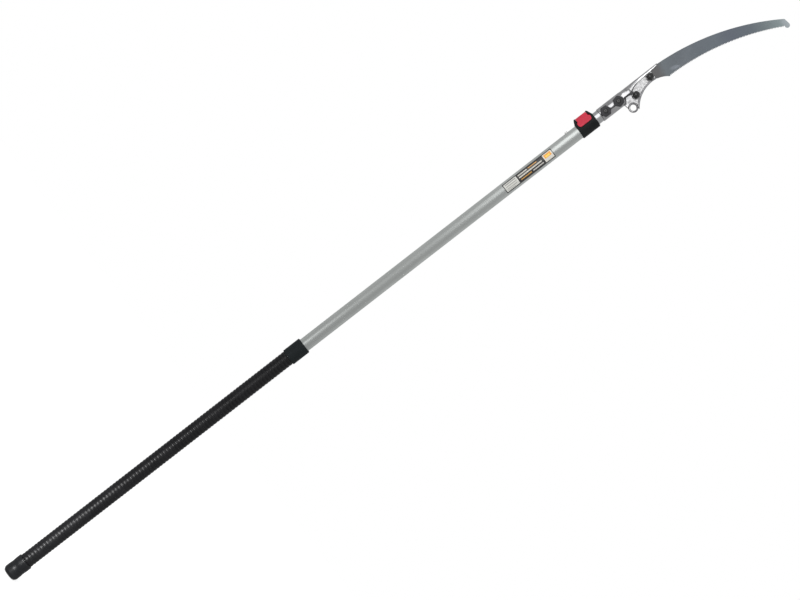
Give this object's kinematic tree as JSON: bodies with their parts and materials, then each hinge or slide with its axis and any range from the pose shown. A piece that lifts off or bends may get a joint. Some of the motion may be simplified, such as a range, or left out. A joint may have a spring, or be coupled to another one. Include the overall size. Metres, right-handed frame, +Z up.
{
  "type": "telescopic pole saw",
  "caption": "Telescopic pole saw: ribbed grip, oval aluminium tubes with a flip-lever clamp, cast saw head with a hanging eye, and a curved pruning blade.",
  "frame": {"origin": "centre of the end cap's flat end, on the pole's axis", "axes": "+Z up the pole to the blade, +X towards the side the blade curves to, -Y towards the knobs and the clamp lever"},
  "size_m": [0.1782, 0.0557, 2.8915],
  "materials": {
    "black_rubber": "satin",
    "black_plastic": "satin",
    "red_plastic": "semi-gloss",
    "tube_aluminium": "satin anodised",
    "cast_aluminium": "polished casting",
    "blade_steel": "satin blue-grey",
    "plain_steel": "zinc plated",
    "dark_steel": "black oxide"
  },
  "bodies": {
    "outer_pole": {"end_cap": "black_rubber", "butt_plug": "black_plastic", "rubber_grip": "black_rubber", "grip_collar": "black_rubber", "outer_tube": "tube_aluminium", "clamp_housing": "black_plastic", "pressure_shoe": "black_plastic", "lever_pin": "plain_steel", "clamp_screw_lower": "plain_steel", "clamp_screw_upper": "plain_steel"},
    "clamp_lever": {"clamp_lever": "red_plastic"},
    "inner_pole": {"inner_tube": "tube_aluminium", "foot_bush": "black_plastic", "tube_core": "black_plastic", "saw_head": "cast_aluminium", "blade": "blade_steel", "lock_spring": "plain_steel", "extension_lock_button": "plain_steel", "extension_lock_spring": "plain_steel", "head_knob_lower": "black_plastic", "head_knob_upper": "black_plastic", "head_bolt_lower": "dark_steel", "head_bolt_upper": "dark_steel", "head_washer_lower": "plain_steel", "head_washer_upper": "plain_steel", "head_nut_lower": "plain_steel", "head_nut_upper": "plain_steel", "blade_bolt_lower": "dark_steel", "blade_bolt_upper": "dark_steel", "cap_nut_lower": "dark_steel", "cap_nut_upper": "dark_steel"},
    "lock_button": {"lock_button": "plain_steel"}
  },
  "joints": [
    {"name": "tube_slide", "type": "slide", "parent": "outer_pole", "child": "inner_pole", "axis": [0, 0, 1], "range_m": [0, 1.9863]},
    {"name": "lever_flip", "type": "hinge", "parent": "outer_pole", "child": "clamp_lever", "pos_m": [-0.0325, -0.007, 2.2186], "axis": [0, 0, -1], "range_deg": [0, 115]},
    {"name": "button_press", "type": "slide", "parent": "inner_pole", "child": "lock_button", "axis": [1, 0, 0], "range_m": [0, 0.0062], "stiffness_N_per_m": 1500, "springref_m": -0.002, "deforming": ["lock_spring"]}
  ]
}
